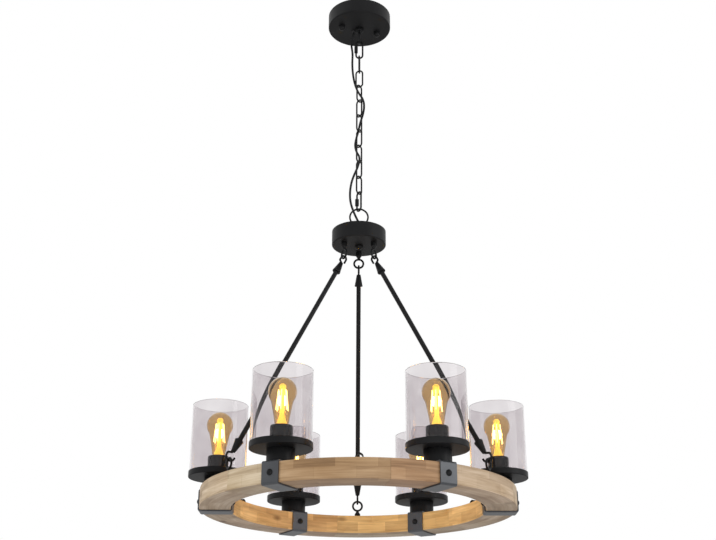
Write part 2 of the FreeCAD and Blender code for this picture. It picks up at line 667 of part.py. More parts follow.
def holder_solid():
    """A screw lampholder: a round sleeve with a socket for the cap, on a threaded spigot."""
    floor = dish_floor + HOLDER_FLOOR
    c = math.cos(math.radians(45))
    r = HOLDER_TOP_R
    socket = CAP_R + CAP_CLEAR
    sleeve = revolved([
        (0, dish_floor), (HOLDER_R, dish_floor), (HOLDER_R, holder_top - r),
        ("arc", (HOLDER_R - r + r * c, holder_top - r + r * c), (HOLDER_R - r, holder_top)),
        (socket, holder_top), (socket, floor), (0, floor)])
    low = ring_top - SPIGOT_IN_WOOD
    spigot = Part.makeCylinder(SPIGOT_R, dish_floor - low, V(0, 0, low))
    holder = sleeve.fuse(spigot).removeSplitter()
    holder.translate(V(ring_middle, 0, 0))
    return holder


def bulb_cap_solid():
    low = dish_floor + HOLDER_FLOOR
    top = low + CAP_TIP + CAP_LENGTH
    cap = revolved([(0, low), (CAP_TIP_R * 0.6, low), (CAP_TIP_R, low + CAP_TIP * 0.5),
                    (CAP_R, low + CAP_TIP), (CAP_R, top), (BULB_NECK_R - BULB_WALL - 0.1, top),
                    (BULB_NECK_R - BULB_WALL - 0.1, top - 3), (0, top - 3)])
    cap.translate(V(ring_middle, 0, 0))
    return cap


def bulb_outline(radius, neck_r, top, low):
    """Half of a pear-shaped bulb: straight neck, swelling shoulder, round head."""
    head_z = top - radius
    blend = head_z - radius * 0.62
    side = radius * math.cos(math.asin(0.62))
    c = math.cos(math.radians(45))
    middle_r = (side + neck_r) / 2 - 0.6
    return [(neck_r, low), (neck_r, low + 4),
            ("arc", (middle_r, (blend + low + 4) / 2), (side, blend)),
            ("arc", (radius * c + 0.0, head_z + radius * c), (0.0, top))]


def bulb_solid():
    low = dish_floor + HOLDER_FLOOR + CAP_TIP + CAP_LENGTH
    outer = bulb_outline(BULB_R, BULB_NECK_R, bulb_top, low)
    inner = bulb_outline(BULB_R - BULB_WALL, BULB_NECK_R - BULB_WALL, bulb_top - BULB_WALL, low)
    glass = revolved(outer + [(0.0, low)]).cut(revolved(inner + [(0.0, low)]))
    glass.translate(V(ring_middle, 0, 0))
    return glass


# ---- build ----
cord_points = cord_route()


def build_ceiling():
    write("ceiling_crossbar", [bar_solid()])
    write("canopy_studs", stud_solids())
    write("canopy_cover", [canopy_solid()])
    write("canopy_cap_nuts", cap_nut_solids())
    stem_end = -BAR_DROP + NUT_HEIGHT + 1.5
    write("canopy_loop", [loop_solid(canopy_floor, TOP_COLLAR_HEIGHT, TOP_LOOP_R, TOP_LOOP_WIRE_R,
                                     TOP_LOOP_TURN, stem_end, -1)])
    write("canopy_loop_nut", [nut_solid(-BAR_DROP)])
    write("terminal_block", [terminal_solid()])


def build_chain():
    for plan in link_plan:
        pieces = [link_solid(*plan)]
        if "quick" in plan[0]:
            pieces.append(sleeve_solid(*plan))
        write(plan[0], pieces)
        print(plan[0], "seat of its top bow, z", round(link_tops[plan[0]], 2))


def build_cord():
    radii = cord_radii(cord_points)
    path = tube_path(cord_points, radii)
    cord = wire_tube(path, CORD_R)
    print("cord length", round(path.Length, 1), "tightest arc", round(min(radii), 1),
          "volume share", round(cord.Volume / (math.pi * CORD_R ** 2 * path.Length), 4))
    write("mains_cord", [cord])
    write("canopy_cord_gland", [gland_solid(cord_points[0], canopy_floor, -1)])
    write("hub_cord_gland", [gland_solid(cord_points[-1], hub_top, 1)])


def build_hub():
    stem_end = hub_floor - 4.5
    write("hub_loop", [loop_solid(hub_top, HUB_COLLAR_HEIGHT, HUB_LOOP_R, HUB_LOOP_WIRE_R,
                                  HUB_LOOP_TURN, stem_end, 1)])
    write("hub_lid", [hub_lid_solid()])
    write("hub_cup", [hub_cup_solid()])
    write("hub_finial_nut", [finial_solid()])
    write("hub_eye_bolts", repeated(eye_bolt_solid(hub_floor, -1, HUB_EYE_SHANK, HUB_EYE_RADIUS),
                                    rod_directions))
    write("hub_eye_nuts", repeated(eye_nut_solid(), rod_directions))


def build_rods():
    tube = rod_tube_solid()
    hooks = [hook_solid(hub_seat, rod_line, TOP_HOOK_R, TOP_HOOK_TAIL),
             hook_solid(ring_seat, rod_line * -1, RING_HOOK_R, RING_HOOK_TAIL)]
    for number, direction in enumerate(rod_directions, 1):
        write(f"rod_{number}_tube", [turned(tube, direction)])
        write(f"rod_{number}_hooks", [turned(hook, direction) for hook in hooks])


def build_ring():
    for number, felloe in enumerate(felloe_solids(), 1):
        write(f"wood_felloe_{number}", [felloe])
    write("ring_straps", repeated(strap_solid(), lamp_directions))
    write("strap_screws", screw_solids())
    write("ring_eye_bolts", repeated(eye_bolt_solid(ring_top, 1, RING_EYE_SHANK, ring_middle),
                                     rod_directions))
    write("ring_clips", repeated(clip_solid(), clip_directions))


def build_lamps():
    write("lamp_spacer_cups", repeated(spacer_solid(), lamp_directions))
    write("gallery_dishes", repeated(dish_solid(), lamp_directions))
    write("lampholders", repeated(holder_solid(), lamp_directions))
    write("bulb_caps", repeated(bulb_cap_solid(), lamp_directions))
    glass = glass_solid()
    bulb = bulb_solid()
    for number, direction in enumerate(lamp_directions, 1):
        write(f"glass_shade_{number}", [turned(glass, direction)])
        write(f"bulb_glass_{number}", [turned(bulb, direction)])


os.makedirs("parts", exist_ok=True)
build_ceiling()
build_chain()
build_cord()
build_hub()
build_rods()
build_ring()
build_lamps()
print("hub top", round(hub_top, 2), "hub floor", round(hub_floor, 2), "ring top", round(ring_top, 2),
      "ring bottom", round(ring_bottom, 2), "bulb top", round(bulb_top, 2), "holder top",
      round(holder_top, 2), "rod seats", hub_seat, ring_seat)
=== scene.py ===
import json
import math

import bmesh
import bpy
import numpy as np
from mathutils import Matrix, Vector


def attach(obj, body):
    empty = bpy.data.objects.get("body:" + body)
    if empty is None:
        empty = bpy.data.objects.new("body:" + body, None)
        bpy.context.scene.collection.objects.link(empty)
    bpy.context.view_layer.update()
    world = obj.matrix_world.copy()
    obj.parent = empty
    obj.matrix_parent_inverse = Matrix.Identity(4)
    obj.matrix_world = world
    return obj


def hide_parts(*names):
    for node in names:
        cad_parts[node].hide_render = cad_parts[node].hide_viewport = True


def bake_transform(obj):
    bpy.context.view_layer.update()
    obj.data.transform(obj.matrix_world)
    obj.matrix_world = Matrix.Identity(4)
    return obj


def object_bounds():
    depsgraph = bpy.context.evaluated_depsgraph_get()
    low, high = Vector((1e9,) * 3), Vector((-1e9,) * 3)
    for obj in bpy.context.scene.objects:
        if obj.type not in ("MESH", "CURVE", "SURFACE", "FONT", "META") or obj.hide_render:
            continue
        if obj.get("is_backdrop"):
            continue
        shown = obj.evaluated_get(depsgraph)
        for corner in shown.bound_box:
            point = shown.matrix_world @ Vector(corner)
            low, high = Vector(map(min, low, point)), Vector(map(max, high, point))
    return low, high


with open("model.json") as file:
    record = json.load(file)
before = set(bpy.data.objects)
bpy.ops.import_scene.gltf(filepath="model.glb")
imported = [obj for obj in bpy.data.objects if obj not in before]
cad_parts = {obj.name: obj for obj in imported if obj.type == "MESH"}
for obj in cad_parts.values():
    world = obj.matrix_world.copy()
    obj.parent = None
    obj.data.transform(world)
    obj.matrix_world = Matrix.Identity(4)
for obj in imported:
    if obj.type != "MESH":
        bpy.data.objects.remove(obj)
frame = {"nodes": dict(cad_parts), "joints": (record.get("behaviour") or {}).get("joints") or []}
bounds_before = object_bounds()
scene = bpy.context.scene

# ---- sizes in metres, from the CAD part; the ceiling is at z = 0 ----
CANOPY_FLOOR = -0.035
CAP_NUT_OUT = 0.0443
CAP_NUT_TURN = 17.3
FIRST_SEAT = -0.075
RUNNING_GAP = 0.0003
LOOP_WIRE = 0.0022
CORD_R = 0.0025

# length and width on the wire's centre line, and the wire's radius
QUICK_LINK = (0.0473, 0.0158, 0.0021)
CHAIN_LINK = (0.0447, 0.016, 0.0019)
CHAIN_TURNS = (85.0, -15.0, 48.0, -45.0, 45.0, -45.0, 45.0, -45.0, 45.0)
LAST_TURN = -55.0
SLEEVE_FLATS = 0.0084
SLEEVE_HALF = 0.008

HUB_TOP = -0.5785
HUB_FLOOR = HUB_TOP - 0.035
HUB_R = 0.0605
HUB_WALL = 0.0015
HUB_LIP = 0.002
HUB_EDGE = 0.003
HUB_EYE_OUT = 0.038

EYE_SEAT = 0.0374
EYE_COLLAR = 0.0166
EYE_MIDDLE = 0.027
EYE_R = 0.0104
EYE_WIRE = 0.00225
HOOK_WIRE = 0.0022
HOOK_APEX = 0.0046
HOOK_NECK = 0.015
ROD_R = 0.005
ROD_START = 0.041

RING_TOP = HUB_FLOOR - 0.553
RING_BOTTOM = RING_TOP - 0.039
RING_R = 0.322
RING_INNER_R = 0.259
RING_MIDDLE = 0.2905
RING_EDGE = 0.0015
FELLOES = 6
FIRST_JOINT = 40
JOINT_GAP = 0.03

STRAP = 0.00315
STRAP_TOP = RING_TOP + STRAP
STRAP_INNER_R = 0.258374
SPACER_R = 0.0267
DISH_BOTTOM = STRAP_TOP + 0.0258
DISH_TOP = DISH_BOTTOM + 0.0123
DISH_FLOOR = DISH_BOTTOM + 0.0015
DISH_R = 0.06
HOLDER_TOP = DISH_FLOOR + 0.043
HOLDER_R = 0.0215
HOLDER_BORE = 0.0138
CAP_BOTTOM = DISH_FLOOR + 0.007
BULB_BASE = DISH_FLOOR + 0.0375
BULB_TOP = HOLDER_TOP + 0.093
BULB_R = 0.0275
BULB_NECK = 0.0124
BULB_WALL = 0.0009
GLASS_TOP = DISH_FLOOR + 0.1515
GLASS_R = 0.0585
GLASS_INNER_R = 0.0555
GLASS_LIP = 0.0012
FILAMENT_TOP = BULB_TOP - 0.0245
FILAMENT_BOTTOM = BULB_TOP - 0.0635
FILAMENT_ROOT = BULB_TOP - 0.068

RODS = (90.0, 210.0, 330.0)
LAMPS = (0.0, 60.0, 120.0, 180.0, 240.0, 300.0)
FITTING = "fitting_body"
CANOPY = "canopy_body"
WHITE = (1, 1, 1, 1)

# ---- camera: where the photo was taken from ----
CAMERA_AT = (0, -2.28806, -1.62479)
LENS_MM = 56.08
TURN = 0.0064
PAN = 0.0008
PITCH = 0.3948
ROLL = -0.0027
ahead_flat = Vector((-math.sin(PAN), math.cos(PAN), 0))
right = Vector((math.cos(PAN), math.sin(PAN), 0))
ahead = ahead_flat * math.cos(PITCH) + Vector((0, 0, math.sin(PITCH)))
up = -ahead_flat * math.sin(PITCH) + Vector((0, 0, math.cos(PITCH)))
image_right = right * math.cos(ROLL) - up * math.sin(ROLL)
image_up = right * math.sin(ROLL) + up * math.cos(ROLL)
axes = Matrix((image_right, image_up, -ahead)).transposed().to_4x4()
camera_data = bpy.data.cameras.new("photo_camera")
camera_data.lens = LENS_MM
camera_data.sensor_width = 36.0
camera_data.sensor_fit = "HORIZONTAL"
camera_data.clip_end = 50
camera = bpy.data.objects.new("photo_camera", camera_data)
scene.collection.objects.link(camera)
camera.matrix_world = Matrix.Rotation(-TURN, 4, "Z") @ Matrix.Translation(CAMERA_AT) @ axes
scene.camera = camera
scene.view_settings.view_transform = "Standard"


# ---- materials ----
def feed(made, inputs):
    """Give each input, by name or number, a value or another node's output to read."""
    for key, value in inputs.items():
        if isinstance(value, bpy.types.NodeSocket):
            made.id_data.links.new(value, made.inputs[key])
        else:
            made.inputs[key].default_value = value


def node(nodes, kind, inputs, **settings):
    made = nodes.new(kind)
    for key, value in settings.items():
        setattr(made, key, value)
    feed(made, inputs)
    return made


def calculated(nodes, operation, *values):
    kind = "ShaderNodeMath"
    return node(nodes, kind, dict(enumerate(values)), operation=operation).outputs["Value"]


def scaled(nodes, place, factors):
    kind = "ShaderNodeVectorMath"
    return node(nodes, kind, {0: place, 1: factors}, operation="MULTIPLY").outputs["Vector"]


def noise(nodes, place, scale, detail, **more):
    inputs = {"Vector": place, "Scale": scale, "Detail": detail, **more}
    return node(nodes, "ShaderNodeTexNoise", inputs).outputs["Fac"]


def ranged(nodes, value, **ends):
    """The value mapped onto To_Min..To_Max, from 0..1 or From_Min..From_Max."""
    inputs = {"Value": value, **{key.replace("_", " "): end for key, end in ends.items()}}
    return node(nodes, "ShaderNodeMapRange", inputs).outputs["Result"]


def bumped(nodes, height, strength, distance):
    inputs = {"Height": height, "Strength": strength, "Distance": distance}
    return node(nodes, "ShaderNodeBump", inputs).outputs["Normal"]


def ramp(nodes, value, stops):
    made = node(nodes, "ShaderNodeValToRGB", {"Fac": value})
    elements = made.color_ramp.elements
    while len(elements) < len(stops):
        elements.new(0.5)
    for element, (at, colour) in zip(elements, stops):
        element.position = at
        element.color = (*colour, 1)
    return made.outputs["Color"]


def multiplied(nodes, colour, by, factor):
    inputs = {"A": colour, "B": by, "Factor": factor}
    made = node(nodes, "ShaderNodeMix", {}, data_type="RGBA", blend_type="MULTIPLY")
    feed(made, inputs)
    return made.outputs["Result"]


def new_material(name):
    """A material with its nodes, its shader and where each point lies on the object."""
    material = bpy.data.materials.new(name)
    material.use_nodes = True
    nodes = material.node_tree.nodes
    place = nodes.new("ShaderNodeTexCoord").outputs["Object"]
    return material, nodes, nodes["Principled BSDF"], place


def grained(name, dark, light, rough, metallic=0.0, scale=900.0, bump=0.15, shine=0.5):
    """A surface with fine grain: two tones, varied roughness and a small bump."""
    material, nodes, shader, place = new_material(name)
    fine = noise(nodes, place, scale, 4.0)
    wide = noise(nodes, place, scale / 40, 3.0)
    feed(shader, {"Base Color": ramp(nodes, wide, [(0.35, dark), (0.65, light)]),
                  "Roughness": ranged(nodes, fine, To_Min=rough - 0.05, To_Max=rough + 0.06),
                  "Normal": bumped(nodes, fine, bump, 0.00005),
                  "Metallic": metallic,
                  "Specular IOR Level": shine})
    return material


def glass(name, clear, edge):
    """Tinted glass whose tint is a little uneven, with a faint ripple. Light passes it freely."""
    material, nodes, shader, place = new_material(name)
    wide = noise(nodes, place, 18.0, 2.0)
    tone = ramp(nodes, wide, [(0.3, edge), (0.7, clear)])
    feed(shader, {"Base Color": tone, "Normal": bumped(nodes, wide, 0.05, 0.0002),
                  "Transmission Weight": 1.0, "Roughness": 0.01, "IOR": 1.28})
    through = node(nodes, "ShaderNodeBsdfTransparent", {"Color": tone})
    shadow = nodes.new("ShaderNodeLightPath").outputs["Is Shadow Ray"]
    pick = node(nodes, "ShaderNodeMixShader",
                {"Fac": shadow, 1: shader.outputs["BSDF"], 2: through.outputs["BSDF"]})
    feed(nodes["Material Output"], {"Surface": pick.outputs["Shader"]})
    return material


def wood(name, shift, warm):
    """Weathered felloe: grain runs along the ring, in edge-glued blocks with a few knots, with
    painted shade underneath and at the front, and painted bulb light on the face that looks at
    the axis.
    """
    material, nodes, shader, place = new_material(name)

    # the ring unrolled: along it, out from the axis, and up
    split = node(nodes, "ShaderNodeSeparateXYZ", {"Vector": place}).outputs
    angle = calculated(nodes, "ARCTAN2", split["Y"], split["X"])
    along = calculated(nodes, "MULTIPLY_ADD", angle, 0.29, shift)
    flat = node(nodes, "ShaderNodeCombineXYZ", {"X": split["X"], "Y": split["Y"]})
    out = node(nodes, "ShaderNodeVectorMath", {0: flat.outputs["Vector"]},
               operation="LENGTH").outputs["Value"]
    unrolled = node(nodes, "ShaderNodeCombineXYZ",
                    {"X": along, "Y": out, "Z": split["Z"]}).outputs["Vector"]

    stretched = scaled(nodes, unrolled, (9.0, 150.0, 150.0))
    grain = noise(nodes, stretched, 1.0, 7.0, Roughness=0.62, Distortion=0.6)
    fibres = noise(nodes, stretched, 6.0, 3.0)
    tones = ramp(nodes, grain, [(0.25, (0.34 * warm, 0.245, 0.15)),
                                (0.5, (0.54 * warm, 0.42, 0.285)),
                                (0.75, (0.69 * warm, 0.57, 0.43))])

    rows = calculated(nodes, "ADD", split["Z"], out)
    rows_place = node(nodes, "ShaderNodeCombineXYZ", {"X": along, "Y": rows}).outputs["Vector"]
    blocks = node(nodes, "ShaderNodeTexBrick",
                  {"Vector": rows_place, "Scale": 1.0, "Mortar Size": 0.0002,
                   "Brick Width": 0.07, "Row Height": 0.0205, "Mortar Smooth": 0.3,
                   "Color1": (0.70, 0.66, 0.62, 1), "Color2": WHITE,
                   "Mortar": (0.6, 0.54, 0.48, 1)}).outputs["Color"]
    coloured = multiplied(nodes, tones, blocks, 1.0)

    knots = node(nodes, "ShaderNodeTexVoronoi",
                 {"Vector": scaled(nodes, unrolled, (9.0, 20.0, 20.0)), "Scale": 1.0,
                  "Randomness": 1.0}).outputs["Distance"]
    knot_tone = ramp(nodes, knots, [(0.0, (0.2, 0.15, 0.1)), (0.07, (0.42, 0.34, 0.26)),
                                    (0.16, (1, 1, 1))])
    coloured = multiplied(nodes, coloured, knot_tone, 0.85)

    # painted shade: darker and greyer on faces that look down; painted bulb light: brighter and
    # yellower on the face that looks at the axis
    normal = nodes.new("ShaderNodeNewGeometry").outputs["Normal"]
    level = node(nodes, "ShaderNodeSeparateXYZ", {"Vector": normal}).outputs["Z"]
    # painted shade on the faces that look down
    under = ranged(nodes, level, From_Min=-0.3, From_Max=-0.9)
    coloured = multiplied(nodes, coloured, (0.70, 0.69, 0.72, 1), under)
    # painted bulb light: the face that looks at the axis is made brighter and warmer, as the
    # bulbs light it
    painted_bulb_light = ranged(nodes, out, From_Min=0.2606, From_Max=0.2592)
    coloured = multiplied(nodes, coloured, (1.42, 1.12, 0.64, 1), painted_bulb_light)

    stain = noise(nodes, scaled(nodes, unrolled, (4.0, 14.0, 14.0)), 2.2, 3.0)
    stain_tone = ramp(nodes, stain, [(0.38, (1.0, 1.0, 1.0)), (0.7, (0.72, 0.64, 0.52))])
    coloured = multiplied(nodes, coloured, stain_tone, 0.8)

    # painted shade: darker and browner between the two straps at the front
    painted_front_shade = calculated(nodes, "COMPARE", angle, -math.pi / 2, math.pi / 6)
    coloured = multiplied(nodes, coloured, (0.80, 0.65, 0.51, 1), painted_front_shade)

    feed(shader, {"Base Color": coloured, "Normal": bumped(nodes, fibres, 0.35, 0.0004),
                  "Roughness": ranged(nodes, grain, To_Min=0.55, To_Max=0.75)})
    return material


def glowing(name, colour, strength):
    """Something that gives off light, whose brightness varies finely: white-hot filaments, and
    the bulb stems as a painted glow.
    """
    material, nodes, shader, place = new_material(name)
    turns = noise(nodes, place, 700.0, 1.0)
    level = ranged(nodes, turns, To_Min=strength * 0.8, To_Max=strength * 1.2)
    feed(shader, {"Emission Strength": level, "Emission Color": (*colour, 1),
                  "Base Color": (*colour, 1)})
    return material


black_metal = grained("black_metal", (0.0045, 0.0045, 0.005), (0.0095, 0.0098, 0.0105), 0.45,
                      scale=420, bump=0.06, shine=0.14)
strap_metal = grained("strap_metal", (0.042, 0.045, 0.05), (0.068, 0.072, 0.08), 0.4,
                      metallic=0.35, scale=420, bump=0.06)
zinc = grained("zinc_steel", (0.4, 0.41, 0.42), (0.55, 0.56, 0.57), 0.35, metallic=1.0)
gloss_black = grained("gloss_black", (0.006, 0.006, 0.007), (0.01, 0.01, 0.011), 0.2,
                      bump=0.02, shine=0.2)
cord_black = grained("cord_black", (0.008, 0.008, 0.009), (0.016, 0.016, 0.017), 0.55,
                     scale=1500, bump=0.3, shine=0.15)
plastic_black = grained("plastic_black", (0.01, 0.01, 0.011), (0.018, 0.018, 0.019), 0.5)
plastic_white = grained("plastic_white", (0.7, 0.69, 0.65), (0.78, 0.77, 0.73), 0.4)
brass = grained("bulb_brass", (0.45, 0.3, 0.12), (0.6, 0.42, 0.18), 0.3, metallic=1.0)
smoked = glass("smoked_glass", (0.80, 0.77, 0.78), (0.71, 0.675, 0.69))
amber = glass("amber_glass", (0.87, 0.72, 0.48), (0.83, 0.66, 0.41))
# painted glow: the bulb stem is given emission, standing for the filaments' light caught in its
# glass
stem_painted_glow = glowing("stem_painted_glow", (0.98, 0.76, 0.2), 1.25)
filament_glow = glowing("filament_glow", (1.0, 0.80, 0.34), 6.5)
woods = [wood(f"ring_wood_{k}", 3.7 * k, 1.0 + 0.03 * ((k * 2) % 3 - 1))
         for k in range(FELLOES)]


# ---- shapes: each is (points, faces) in metres ----
def lathe(outline, steps=72):
    """A closed (radius, z) outline turned about Z."""
    points = []
    rings = []
    for r, z in outline:
        if r < 1e-7:
            rings.append([len(points)] * steps)
            points.append((0.0, 0.0, z))
        else:
            rings.append(list(range(len(points), len(points) + steps)))
            angles = [2 * math.pi * k / steps for k in range(steps)]
            points += [(r * math.cos(t), r * math.sin(t), z) for t in angles]
    faces = []
    for a, b in zip(rings, rings[1:] + rings[:1]):
        for k in range(steps):
            n = (k + 1) % steps
            corners = []
            for c in (a[k], a[n], b[n], b[k]):
                if c not in corners:
                    corners.append(c)
            if len(corners) > 2:
                faces.append(corners)
    return np.array(points, float), faces


def pipe(path, radius, closed=False, sides=16):
    """A round bar along points."""
    path = np.array(path, float)
    count = len(path)
    if closed:
        tangents = np.roll(path, -1, 0) - np.roll(path, 1, 0)
    else:
        tangents = np.gradient(path, axis=0)
    tangents /= np.linalg.norm(tangents, axis=1)[:, None]
    start = np.cross(tangents[0], (0.31, 0.77, 0.55))
    side = start / np.linalg.norm(start)
    points = []
    for at, way in zip(path, tangents):
        side = side - way * (side @ way)
        side /= np.linalg.norm(side)
        other = np.cross(way, side)
        points += [at + radius * (math.cos(t) * side + math.sin(t) * other)
                   for t in np.linspace(0, 2 * math.pi, sides, endpoint=False)]
    faces = []
    for k in range(count if closed else count - 1):
        a = k * sides
        b = (k + 1) % count * sides
        shift = 0
        if closed and k == count - 1:
            gaps = [np.linalg.norm(points[a] - points[b + s]) for s in range(sides)]
            shift = int(np.argmin(gaps))
        for s in range(sides):
            n = (s + 1) % sides
            faces.append([a + s, a + n, b + (n + shift) % sides, b + (s + shift) % sides])
    if not closed:
        faces.append(list(range(sides))[::-1])
        faces.append(list(range((count - 1) * sides, count * sides)))
    return np.array(points), faces


def hexagon(flats, low, high, bore):
    """A hexagonal nut standing on Z, with a round hole."""
    steps = 36
    angles = [2 * math.pi * k / steps for k in range(steps)]
    points = []
    for z in (low, high):
        for t in angles:
            off = (t + math.pi / 6) % (math.pi / 3) - math.pi / 6
            r = flats / 2 / math.cos(off)
            points.append((r * math.cos(t), r * math.sin(t), z))
        points += [(bore * math.cos(t), bore * math.sin(t), z) for t in angles]
    faces = []
    for k in range(steps):
        n = (k + 1) % steps
        faces.append([k, n, 2 * steps + n, 2 * steps + k])
        faces.append([steps + n, steps + k, 3 * steps + k, 3 * steps + n])
        faces.append([n, k, steps + k, steps + n])
        faces.append([2 * steps + k, 2 * steps + n, 3 * steps + n, 3 * steps + k])
    return np.array(points), faces


def joined(*shapes):
    points = []
    faces = []
    for some, theirs in shapes:
        base = sum(len(p) for p in points)
        points.append(some)
        faces += [[base + c for c in face] for face in theirs]
    return np.concatenate(points), faces


def moved(shape, x=0.0, y=0.0, z=0.0):
    return shape[0] + np.array((x, y, z)), shape[1]


def turned(shape, degrees):
    """The shape turned about the Z axis."""
    t = math.radians(degrees)
    spin = ((math.cos(t), math.sin(t), 0), (-math.sin(t), math.cos(t), 0), (0, 0, 1))
    return shape[0] @ np.array(spin), shape[1]


def aimed(shape, at, way):
    """The shape's Z axis laid along way, from the point at."""
    turn = Vector((0, 0, 1)).rotation_difference(Vector(way)).to_matrix()
    return shape[0] @ np.array(turn).T + np.array(at), shape[1]


def arc(cx, cz, r, a, b, steps=8):
    """Points of an arc in a plane, from a to b degrees."""
    return [(cx + r * math.cos(math.radians(t)), cz + r * math.sin(math.radians(t)))
            for t in np.linspace(a, b, steps)]


def circle(radius, centre, degrees, steps=64):
    """Points of an upright circle, whose plane is turned from XZ."""
    t = math.radians(degrees)
    return [(radius * math.cos(a) * math.cos(t) + centre[0],
             radius * math.cos(a) * math.sin(t) + centre[1],
             radius * math.sin(a) + centre[2])
            for a in np.linspace(0, 2 * math.pi, steps, endpoint=False)]


def rounded(points, radii, steps):
    """Straight runs joined by tangent arcs, as points."""
    out = [points[0]]
    for before, corner, after, radius in zip(points, points[1:], points[2:], radii):
        back = (before - corner) / np.linalg.norm(before - corner)
        on = (after - corner) / np.linalg.norm(after - corner)
        half = (math.pi - math.acos(float(np.clip(back @ on, -1, 1)))) / 2
        a = corner + back * radius * math.tan(half)
        b = corner + on * radius * math.tan(half)
        inward = (back + on) / np.linalg.norm(back + on)
        centre = corner + inward * radius / math.cos(half)
        for s in np.linspace(0, 1, steps):
            spot = a * (1 - s) + b * s - centre
            out.append(centre + spot / np.linalg.norm(spot) * radius)
    out.append(points[-1])
    return out


def add(name, shape, material, body, *nodes):
    """A smooth-shaded piece that rides on a body and stands for its CAD nodes."""
    mesh = bpy.data.meshes.new(name)
    mesh.from_pydata([tuple(p) for p in shape[0]], [], shape[1])
    mesh.validate()
    mesh.update()
    work = bmesh.new()
    work.from_mesh(mesh)
    bmesh.ops.recalc_face_normals(work, faces=work.faces)
    work.to_mesh(mesh)
    work.free()
    mesh.polygons.foreach_set("use_smooth", [True] * len(mesh.polygons))
    mesh.set_sharp_from_angle(angle=math.radians(35.0))
    mesh.materials.append(material)
    made = bpy.data.objects.new(name, mesh)
    scene.collection.objects.link(made)
    if body:
        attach(made, body)
    if nodes:
        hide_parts(*nodes)
    return made


# ---- mains cord: one spline through these points, in mm, cut where the links swing ----
CORD = [(-13.5, 7.4, -40.0), (-16.1, 8.0, -54.0), (-20.1, 9.0, -73.0), (-15.9, 9.6, -98.0),
        (-17.2, 9.9, -126.0), (-15.8, 9.8, -153.0), (-12.1, 9.5, -179.0), (-5.4, 7.1, -203.0),
        (1.7, -1.9, -222.0), (9.4, -11.8, -240.0), (12.1, -11.0, -259.0), (8.9, -9.5, -280.0),
        (2.6, -4.7, -298.0), (-2.1, 10.5, -315.0), (-7.4, 13.0, -334.0), (-9.9, 11.3, -352.0),
        (-6.0, 7.4, -371.0), (0.8, -3.6, -388.0), (0.9, -12.1, -404.0), (-3.2, -12.5, -421.0),
        (-10.8, -12.6, -439.0), (-17.5, -13.6, -460.0), (-20.8, -14.2, -484.0),
        (-20.3, -14.3, -507.0), (-15.3, -14.0, -527.0), (-9.1, -14.0, -543.0),
        (-3.4, -14.5, -556.0), (1.0, -15.1, -565.5), (2.5, -15.3, -573.5)]
line = bpy.data.curves.new("cord_line", "CURVE")
line.dimensions = "3D"
spline = line.splines.new("NURBS")
spline.points.add(len(CORD) - 1)
for point, (x, y, z) in zip(spline.points, CORD):
    point.co = (x / 1000, y / 1000, z / 1000, 1)
spline.order_u = 3
spline.use_endpoint_u = True
spline.resolution_u = 12
line_object = bpy.data.objects.new("cord_line", line)
scene.collection.objects.link(line_object)
bpy.context.view_layer.update()
line_mesh = bpy.data.meshes.new_from_object(line_object)
cord_path = np.array([v.co for v in line_mesh.vertices], float)
bpy.data.objects.remove(line_object)
bpy.data.curves.remove(line)
bpy.data.meshes.remove(line_mesh)

joints = frame["joints"]
hinge_z = [joint["pos_m"][2] for joint in joints]
cuts = [(a + b) / 2 for a, b in zip(hinge_z, hinge_z[1:])]
first = 0
for number, joint in enumerate(joints):
    if number < len(cuts):
        last = int(np.argmin(abs(cord_path[:, 2] - cuts[number])))
    else:
        last = len(cord_path) - 1
    piece_path = cord_path[first:last + 1]
    piece = add(f"mains_cord_{number + 1}", pipe(piece_path, CORD_R), cord_black, None,
                "mains_cord")
    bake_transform(piece)
    first = last

# ---- CAD pieces that are shown as they are ----
SHOWN = {"ceiling_crossbar": zinc, "canopy_studs": zinc, "canopy_loop_nut": zinc,
         "hub_eye_nuts": zinc, "terminal_block": plastic_white, "ring_straps": strap_metal,
         "ring_clips": black_metal, "canopy_cord_gland": plastic_black,
         "hub_cord_gland": plastic_black, "canopy_cover": black_metal, "hub_lid": black_metal}
for name, material in SHOWN.items():
    mesh = frame["nodes"][name].data
    mesh.materials.clear()
    mesh.materials.append(material)


# ---- ceiling fitting ----
def domed(radius, edge, crown):
    """Outline of a domed nut that hangs down from z = 0 to the crown."""
    height = edge - crown
    sphere = (radius ** 2 + height ** 2) / (2 * height)
    centre = crown + sphere
    start = math.degrees(math.atan2(edge - centre, radius))
    chamfer = 0.0006
    return [(0, 0), (radius - chamfer, 0), (radius, -chamfer)] \
        + arc(0, centre, sphere, start, -90, 10)


def collar_loop(seat, collar, radius, wire, turn, stem_end, way):
    """A ring of wire on a tapered collar, with a stem; way is 1 upwards and -1 downwards."""
    neck = seat + way * collar
    side = neck - way * collar * 0.35
    body = lathe([(0, seat), (0.0085, seat), (0.01, seat + way * 0.0015),
                  (0.01, side - way * 0.0015), (0.0085, side),
                  (0.0058, neck - way * collar * 0.3), (0.0046, neck), (0, neck)], 48)
    ring = pipe(circle(radius, (0, 0, neck + way * radius), turn, 72), wire, True, 18)
    stem = lathe([(0, seat), (0.005, seat), (0.005, stem_end), (0, stem_end)], 32)
    return joined(body, ring, stem)


cap_nut = lathe(domed(0.0075, -0.0054, -0.012), 40)
for number, side in enumerate((-1, 1), 1):
    t = math.radians(CAP_NUT_TURN)
    x, y = side * CAP_NUT_OUT * math.cos(t), side * CAP_NUT_OUT * math.sin(t)
    add(f"cap_nut_{number}", moved(cap_nut, x, y, CANOPY_FLOOR), black_metal, CANOPY,
        "canopy_cap_nuts")
add("canopy_loop_visual",
    collar_loop(CANOPY_FLOOR, 0.011, 0.0145, LOOP_WIRE, 90, -0.0035, -1),
    black_metal, CANOPY, "canopy_loop")
add("hub_loop_visual",
    collar_loop(HUB_TOP, 0.016, 0.0205, 0.002, 0, HUB_FLOOR - 0.0045, 1),
    black_metal, FITTING, "hub_loop")

